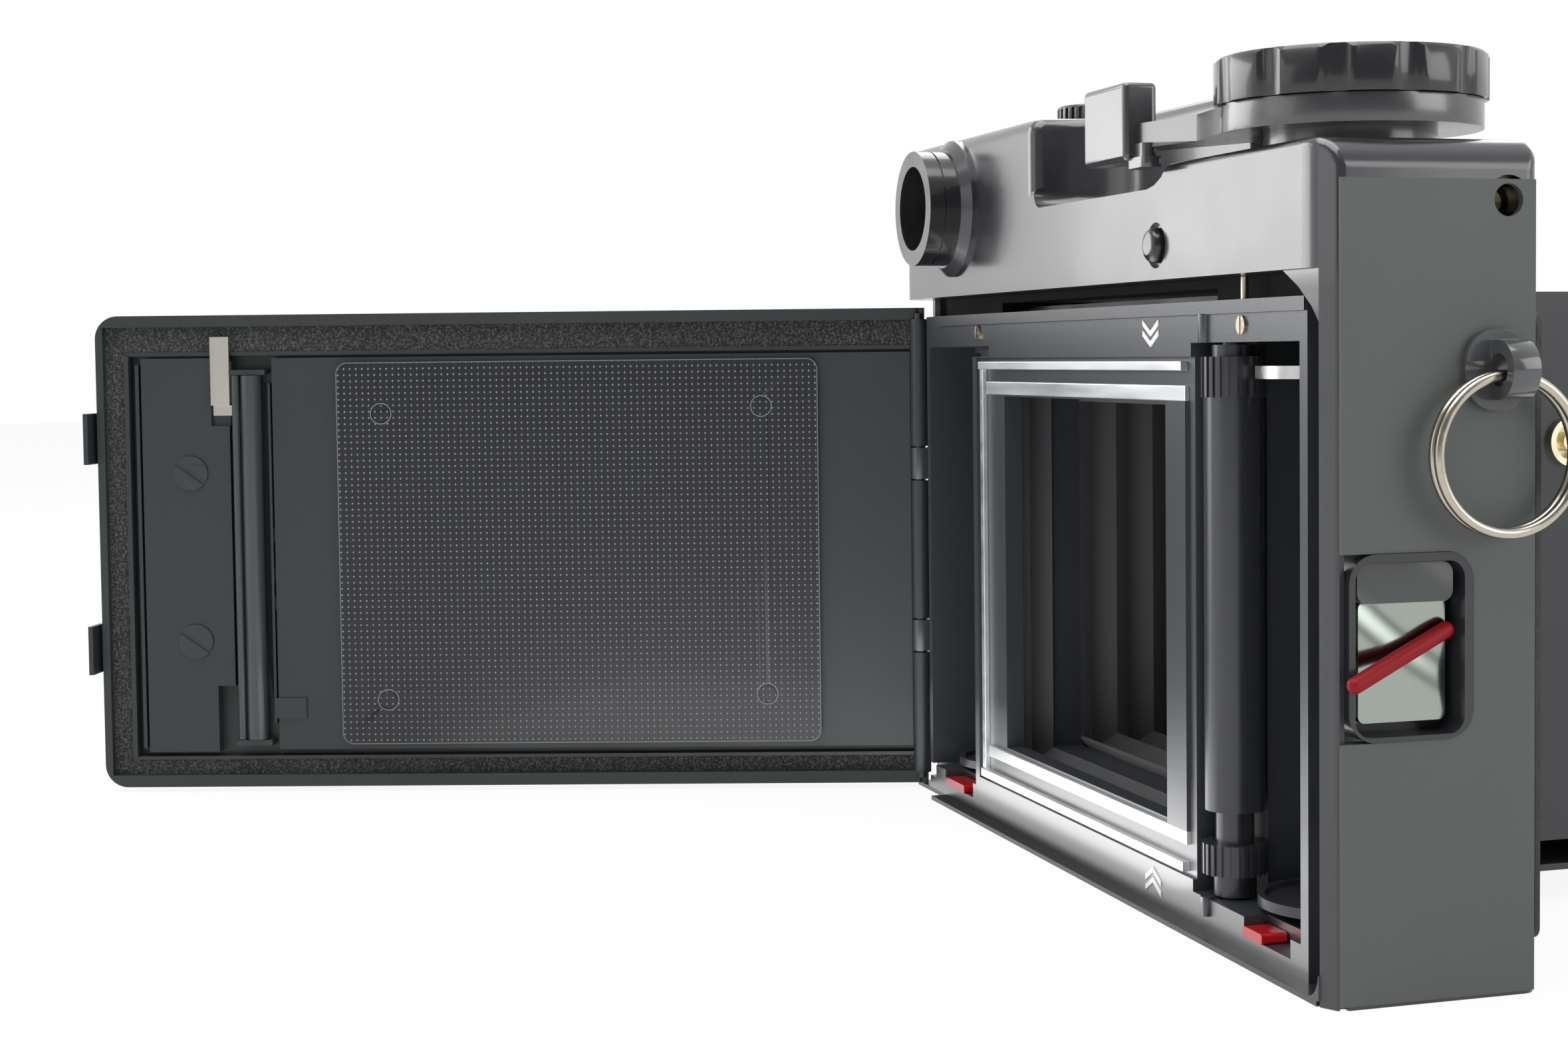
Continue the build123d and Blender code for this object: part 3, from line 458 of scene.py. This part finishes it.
def number_mesh(label, height):
    curve = bpy.data.curves.new("numeral", "FONT")
    curve.body = label
    curve.size = height * MM
    curve.extrude = FILL_MM * MM
    curve.resolution_u = CURVE_STEPS
    curve.align_x = "CENTER"
    curve.align_y = "CENTER"
    holder = bpy.data.objects.new("numeral", curve)
    bpy.context.scene.collection.objects.link(holder)
    bpy.context.view_layer.update()
    drawn = holder.evaluated_get(bpy.context.evaluated_depsgraph_get())
    mesh = bpy.data.meshes.new_from_object(drawn)
    spots = [v.co / MM for v in mesh.vertices]
    faces = [tuple(f.vertices) for f in mesh.polygons]
    bpy.data.objects.remove(holder)
    bpy.data.meshes.remove(mesh)
    return spots, faces


def filled_numbers(name, labels, height, lay, body):
    spots, faces = [], []
    for label, turn in labels:
        drawn, sides = number_mesh(label, height)
        start = len(spots)
        spots += [Vector(lay(turn, p)) * MM for p in drawn]
        faces += [tuple(start + k for k in side) for side in sides]
    mesh = bpy.data.meshes.new(name)
    mesh.from_pydata(spots, [], faces)
    joined = bmesh.new()
    joined.from_mesh(mesh)
    bmesh.ops.remove_doubles(joined, verts=joined.verts, dist=JOIN_DISTANCE)
    joined.to_mesh(mesh)
    joined.free()
    piece = place_mesh(name, mesh, white_mark)
    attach(piece, body)


def spaced(labels, first, step):
    return [(label, first + step * k) for k, label in enumerate(labels)]


def on_top(x, y, z, radius):
    def lay(turn, p):
        a = math.radians(turn)
        out = radius + p.y
        east, north = (math.cos(a), -math.sin(a)), (math.sin(a), math.cos(a))
        return (x + out * north[0] + p.x * east[0], y + out * north[1] + p.x * east[1], z + p.z)
    return lay


dress("counter_disc", gloss_black)
dress("speed_dial", anodised, edge_mm=0.08)
filled_numbers("counter_numbers", spaced(COUNTS, first=150, step=28), height=1.1,
               lay=on_top(COUNT_X, COUNT_Y, COUNT_TOP, radius=3.4), body="counter")
filled_numbers("dial_numbers", spaced(FILM_SPEEDS, first=0, step=72), height=1.5,
               lay=on_top(DIAL_X, DIAL_Y, DIAL_TOP, radius=4.4), body="dial")


# Wind lever, focusing knob and the two buttons, turned or stamped on common shafts and blacked.
# The knob carries a distance scale in metres round its top, filled white.
KNOB_X, KNOB_Y, KNOB_TOP = -62.0, 0.5, 111.5
DISTANCES = ("1", "1.2", "1.5", "2", "3", "5", "10")
LEVER_BLACK, LEVER_IOR = (0.022, 0.023, 0.026), 1.9
lever_black = sprayed("lever black", LEVER_BLACK, smoothest=0.22, roughest=0.30, grain_mm=0.003,
                      coat=0.3)
lever_black.node_tree.nodes["Principled BSDF"].inputs["IOR"].default_value = LEVER_IOR
dress("wind_lever", lever_black, edge_mm=0.2)
dress("focus_knob", gloss_black, edge_mm=0.25)
dress("shutter_button", drive_steel, edge_mm=0.1)
dress("meter_button", gloss_black)
filled_numbers("distance_scale", spaced(DISTANCES, first=200, step=26), height=2.2,
               lay=on_top(KNOB_X, KNOB_Y, KNOB_TOP, radius=13.7), body="knob")


# Bellows of pleated black cloth, glued to the gate, the carriage and the lens board.
# The rear part stays with the body, the main part closes up as the standard folds in.
BELLOWS_BLACK, CLOTH_SHEEN = (0.030, 0.031, 0.033), 0.35
cloth, cloth_shader = shader_material("bellows cloth", BELLOWS_BLACK, rough=0.6)
cloth_shader.inputs["Sheen Weight"].default_value = CLOTH_SHEEN
add_grain(cloth, cloth_shader, 4000.0, 0.02)
dress("bellows_rear", cloth)
dress("bellows_main", cloth)
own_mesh(nodes["bellows_main"])


# Focusing carriage, scissor arms and the front standard, the folding strut of the lens.
# The arms are blacked steel strips that turn on pins, the standard is a sprayed box.
dress("focus_carriage", casting_black)
for layer in ("top_a", "top_b", "bottom_a", "bottom_b"):
    dress("arm_" + layer, anodised)
dress("lens_standard", satin_black, edge_mm=0.15)


# Lens: a black anodised barrel screwed to the standard, with its coated glass.
# The two setting rings turn on the barrel and are ribbed for grip.
dress("lens_barrel", gloss_black, edge_mm=0.1)
dress("aperture_ring", gloss_black)
dress("shutter_ring", gloss_black)
coated, coated_shader = shader_material("coated glass", (0.75, 0.70, 0.85), rough=0.02)
coated_shader.inputs["Transmission Weight"].default_value = 0.95
dress("lens_glass", coated)


# Aperture and shutter scales, filled white round the two setting rings, read from behind.
# A small white index on the barrel's front flange shows the value that is set.
LENS_Z, RING_R = 41.1, 30.3
APERTURE_Y, SHUTTER_Y, INDEX_Y = -68.5, -65.5, -71.2
STOPS = ("4", "5.6", "8", "11", "16", "22")
SPEEDS = ("B", "1", "2", "4", "8", "15", "30", "60", "125", "250", "500")


def round_ring(y):
    def lay(turn, p):
        a = math.radians(turn) - p.x / RING_R
        out = RING_R + p.z
        return (out * math.sin(a), y - p.y, LENS_Z + out * math.cos(a))
    return lay


filled_numbers("aperture_scale", spaced(STOPS, first=30, step=-12), height=2.0,
               lay=round_ring(APERTURE_Y), body="aperture")
filled_numbers("shutter_scale", spaced(SPEEDS, first=60, step=-12), height=2.0,
               lay=round_ring(SHUTTER_Y), body="shutter")
filled_numbers("barrel_index", [("I", 0)], height=1.8, lay=round_ring(INDEX_Y), body="front")


# Flash lead socket, turned from lacquered brass and let into the side of the standard.
# Its contact pin sits in an insulating ring.
gold_brass = bright_metal("lacquered brass", (0.84, 0.76, 0.56), smoothest=0.2, roughest=0.35,
                          stretch=EVEN)
dress("sync_socket", gold_brass)


# Back door leaf and its two liner plates, pressed from sheet, sprayed a blue-grey black inside.
# The plates are dropped into the pan, and the hinge is rolled from the leaf's own edge.
liner_black = sprayed("liner black", (0.022, 0.027, 0.029), smoothest=0.32, roughest=0.42,
                      grain_mm=0.006, specks=0.78)
dress("back_door", liner_black)
dress("door_plate_free", liner_black)
dress("door_plate_hinge", liner_black)


# Black flock, glued in the channel round the door's rim, that keeps light out.
# Its fibres catch the light in fine grey flecks.
FLOCK_DARK, FLOCK_FLECK = (0.006, 0.006, 0.006), (0.10, 0.10, 0.095)
FLOCK_SCALE, FLOCK_DETAIL, FLOCK_MM = 2600.0, 6.0, 0.25
FLECK_LOW, FLECK_HIGH, FLOCK_SHEEN = 0.45, 0.75, 0.4


def flock(name):
    mat, shader = shader_material(name, (0.01, 0.01, 0.01), rough=0.95)
    shader.inputs["Sheen Weight"].default_value = FLOCK_SHEEN
    tree = mat.node_tree
    fibres = noise_node(tree, FLOCK_SCALE, FLOCK_DETAIL)
    flecks = span_node(tree, fibres, "Fac", FLECK_LOW, FLECK_HIGH, 0.0, 1.0)
    colour = two_colours(tree, flecks, "Result", FLOCK_DARK, FLOCK_FLECK)
    link(tree, colour, "Result", shader, "Base Color")
    raise_surface(tree, fibres, "Fac", shader, FLOCK_MM)
    return mat


dress("door_seal", flock("black flock"))


# Pressure plate of blackened sheet, stamped with a grid of small dimples.
# It floats on four sprung rivets so that it can press the film flat.
DIMPLE_PITCH, DIMPLE_MM = 1.07, 0.15
DIMPLE_FLOOR, DIMPLE_RIM = 0.10, 0.19
DIMPLE_PAINTED_GLINT, PLATE_BLACK = (0.22, 0.23, 0.24), (0.008, 0.009, 0.012)
DOOR_ANGLE = 108.6


def dimpled_plate():
    mat, shader = shader_material("dimpled plate with painted glints", (0.012, 0.013, 0.015), rough=0.30, coat=0.1)
    tree = mat.node_tree
    place = tree.nodes.new("ShaderNodeTexCoord")
    turn = tree.nodes.new("ShaderNodeMapping")
    turn.inputs["Rotation"].default_value = (0, 0, math.radians(DOOR_ANGLE))
    turn.inputs["Scale"].default_value = (1 / (DIMPLE_PITCH * MM),) * 3
    cell = tree.nodes.new("ShaderNodeVectorMath")
    cell.operation = "FRACTION"
    link(tree, place, "Object", turn, "Vector")
    link(tree, turn, "Vector", cell, 0)
    reach = reach_from(tree, cell, 0, (0.5, 0.5, 0.5), (1, 0, 1))
    pit = span_node(tree, reach, "Value", DIMPLE_FLOOR, DIMPLE_RIM, 0.0, 1.0)
    raise_surface(tree, pit, "Result", shader, DIMPLE_MM)
    # Each dimple's hollow is painted light, a painted glint where it catches the light; the rest of
    # the plate keeps its black.
    colour = two_colours(tree, pit, "Result", DIMPLE_PAINTED_GLINT, PLATE_BLACK)
    link(tree, colour, "Result", shader, "Base Color")
    return mat


dress("pressure_plate", dimpled_plate(), edge_mm=0.18)


# Painted highlights along the edges of the pressure plate and of its four rivet seats, where their
# rims catch the light.
# Each is a line a fifth of a millimetre wide that lies on the plate.
HINGE_X, HINGE_Y, PLATE_FACE = 72.0, 12.5, 12.6
PLATE_EDGE, PLATE_CORNER, EDGE_HIGHLIGHT_WIDTH = (-30.0, 54.3, 8.4, 75.5), 2.0, 0.16
RIVET_PLACES = ((-22.2, 66.5), (44.4, 67.2), (-21.8, 16.2), (44.95, 16.8))
SEAT_R, SEAT_HIGHLIGHT_WIDTH = 1.9, 0.2
# Light grey paint that stands in for the highlight on each rim.
edge_highlight_paint = shader_material("painted edge highlight", (0.13, 0.14, 0.145), rough=0.35)[0]


def on_door(x, z):
    a = math.radians(-DOOR_ANGLE)
    dx, dy = x - HINGE_X, PLATE_FACE - HINGE_Y
    return (HINGE_X + dx * math.cos(a) - dy * math.sin(a),
            HINGE_Y + dx * math.sin(a) + dy * math.cos(a), z)


def rounded_outline(x0, x1, z0, z1, r, steps=8):
    points = []
    corners = ((x1 - r, z1 - r, 0), (x0 + r, z1 - r, 90), (x0 + r, z0 + r, 180), (x1 - r, z0 + r, 270))
    for cx, cz, start in corners:
        for k in range(steps + 1):
            a = math.radians(start + 90 * k / steps)
            points.append((cx + r * math.cos(a), cz + r * math.sin(a)))
    return points


def painted_highlight_line(name, x0, x1, z0, z1, r, width):
    outer = rounded_outline(x0, x1, z0, z1, r)
    inner = rounded_outline(x0 + width, x1 - width, z0 + width, z1 - width, r - width)
    n = len(outer)
    spots = [Vector(on_door(*p)) * MM for p in outer + inner]
    faces = [(i, (i + 1) % n, n + (i + 1) % n, n + i) for i in range(n)]
    mesh = bpy.data.meshes.new(name)
    mesh.from_pydata(spots, [], faces)
    piece = place_mesh(name, mesh, edge_highlight_paint)
    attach(piece, "pressure")


painted_highlight_line("plate_edge_highlight", *PLATE_EDGE, PLATE_CORNER, EDGE_HIGHLIGHT_WIDTH)
for k, (rivet_x, rivet_z) in enumerate(RIVET_PLACES):
    painted_highlight_line("rivet_edge_highlight_%d" % k, rivet_x - SEAT_R, rivet_x + SEAT_R, rivet_z - SEAT_R,
              rivet_z + SEAT_R, SEAT_R, SEAT_HIGHLIGHT_WIDTH)


# Film rollers turned from steel, running in a folded bracket near the latch edge of the door.
# Two slotted buttons and bright leaf springs keep the film tight on its spool.
dress("roller_bracket", liner_black, edge_mm=0.1)
roller_black, roller_shader = shader_material("roller black", (0.035, 0.040, 0.044), rough=0.3,
                                              coat=0.4)
vary_rough(roller_black, roller_shader, TURNED_SCALE, 0.26, 0.36, ALONG_Z)
dress("door_roller_thick", roller_black)
dress("door_roller_thin", roller_black)
button_black = sprayed("button black", (0.026, 0.030, 0.034), smoothest=0.3, roughest=0.4,
                       grain_mm=0.006)
spring_steel = bright_metal("spring steel", (0.66, 0.64, 0.58), smoothest=0.22, roughest=0.4,
                            stretch=ALONG_Z)
dress("spring_buttons", button_black, edge_mm=0.12)
dress("door_springs", spring_steel)


# Studio: pale floor, white surround, soft lamps and the camera at the photograph's angle.
# The surround is white in front of the camera and dims behind it, as a table booth does.
FLOOR_HALF, FLOOR_SHARE = 3.0, 0.9
WHITE, BOOTH_SHADE = (1.0, 1.0, 1.0), (0.60, 0.60, 0.61)
BOOTH_FRONT = (0.94, -0.33, 0.1)
BOOTH_BACK_TONE, BOOTH_BACK_AT, BOOTH_FRONT_AT = 0.22, -0.75, 0.25


def on_rays(tree, *kinds):
    path = tree.nodes.new("ShaderNodeLightPath")
    total = None
    for kind in kinds:
        most = tree.nodes.new("ShaderNodeMath")
        most.operation = "MAXIMUM"
        most.inputs[1].default_value = 0.0
        link(tree, path, kind, most, 0)
        if total:
            link(tree, total, "Value", most, 1)
        total = most
    return total


world = bpy.data.worlds.new("surround")
world.use_nodes = True
booth = world.node_tree
facing = booth.nodes.new("ShaderNodeTexCoord")
toward = booth.nodes.new("ShaderNodeVectorMath")
toward.operation = "DOT_PRODUCT"
toward.inputs[1].default_value = BOOTH_FRONT
link(booth, facing, "Generated", toward, 0)
booth_tone = span_node(booth, toward, "Value", BOOTH_BACK_AT, BOOTH_FRONT_AT, BOOTH_BACK_TONE, 1.0)
mirrored = two_colours(booth, on_rays(booth, "Is Glossy Ray"), "Value", BOOTH_SHADE, WHITE)
link(booth, booth_tone, "Result", mirrored, "B")
seen = two_colours(booth, on_rays(booth, "Is Camera Ray", "Is Transmission Ray"), "Value",
                   BOOTH_SHADE, WHITE)
link(booth, mirrored, "Result", seen, "A")
link(booth, seen, "Result", booth.nodes["Background"], "Color")
bpy.context.scene.world = world

floor_mesh = bpy.data.meshes.new("floor")
floor_corners = ((-1, -1), (1, -1), (1, 1), (-1, 1))
floor_mesh.from_pydata([(FLOOR_HALF * x, FLOOR_HALF * y, 0) for x, y in floor_corners], [],
                       [(0, 1, 2, 3)])
floor_white, floor_shader = shader_material("pale floor", (0.93, 0.93, 0.93), rough=0.9)
floor_tree = floor_white.node_tree
glow = floor_tree.nodes.new("ShaderNodeEmission")
lifted = floor_tree.nodes.new("ShaderNodeMixShader")
share = floor_tree.nodes.new("ShaderNodeMath")
share.operation = "MULTIPLY"
share.inputs[1].default_value = FLOOR_SHARE
link(floor_tree, on_rays(floor_tree, "Is Camera Ray", "Is Glossy Ray"), "Value", share, 0)
link(floor_tree, share, "Value", lifted, "Fac")
link(floor_tree, floor_shader, "BSDF", lifted, 1)
link(floor_tree, glow, "Emission", lifted, 2)
link(floor_tree, lifted, "Shader", floor_tree.nodes["Material Output"], "Surface")
floor = place_mesh("floor", floor_mesh, floor_white)


def soft_lamp(name, place, aim, size, power):
    data = bpy.data.lights.new(name, "AREA")
    data.size = size
    data.energy = power
    lamp = bpy.data.objects.new(name, data)
    lamp.location = place
    lamp.rotation_euler = (Vector(aim) - Vector(place)).to_track_quat("-Z", "Y").to_euler()
    lamp.visible_camera = False
    bpy.context.scene.collection.objects.link(lamp)


soft_lamp("overhead", (-0.1, 0.2, 1.0), (0, 0, 0), size=1.0, power=10.5)
soft_lamp("near side", (-0.75, -0.68, 0.4), (0, 0, 0.05), size=0.6, power=3.2)
soft_lamp("window", (0.53, 0.48, 0.22), (0, 0.015, 0.08), size=0.5, power=2.5)
soft_lamp("behind the photographer", (-0.05, 1.0, 0.3), (0, 0, 0.07), size=0.5, power=0.6)
soft_lamp("table bounce", (0.02, 0.065, 0.003), (0.02, 0.065, 1.0), size=0.1, power=0.05)
soft_lamp("high behind", (0.7, -0.35, 0.75), (0, 0, 0.1), size=0.6, power=3.0)

CAMERA_PLACE = (-0.3324, 0.14481, 0.07579)
YAW, PITCH, ROLL = (math.radians(a) for a in (72.68, 2.80, 0.59))
PHOTO_WIDTH, PHOTO_HEIGHT = 2358, 1568
FOCAL_PIXELS, CENTRE = 3678, (1332.4, 714.1)
SENSOR_WIDTH, NEAREST = 36.0, 0.01
forward = Vector((math.sin(YAW) * math.cos(PITCH), -math.cos(YAW) * math.cos(PITCH),
                  -math.sin(PITCH)))
across = forward.cross(Vector((0, 0, 1))).normalized()
down = forward.cross(across)
turned = math.cos(ROLL) * across + math.sin(ROLL) * down
turned_down = -math.sin(ROLL) * across + math.cos(ROLL) * down
camera_data = bpy.data.cameras.new("camera")
camera_data.sensor_width = SENSOR_WIDTH
camera_data.lens = SENSOR_WIDTH * FOCAL_PIXELS / PHOTO_WIDTH
camera_data.shift_x = (PHOTO_WIDTH / 2 - CENTRE[0]) / PHOTO_WIDTH
camera_data.shift_y = (CENTRE[1] - PHOTO_HEIGHT / 2) / PHOTO_WIDTH
camera_data.clip_start = NEAREST
camera = bpy.data.objects.new("camera", camera_data)
axes = Matrix((turned, -turned_down, -forward)).transposed()
camera.matrix_world = Matrix.Translation(CAMERA_PLACE) @ axes.to_4x4()
bpy.context.scene.collection.objects.link(camera)
bpy.context.scene.camera = camera
bpy.context.scene.view_settings.view_transform = "Standard"
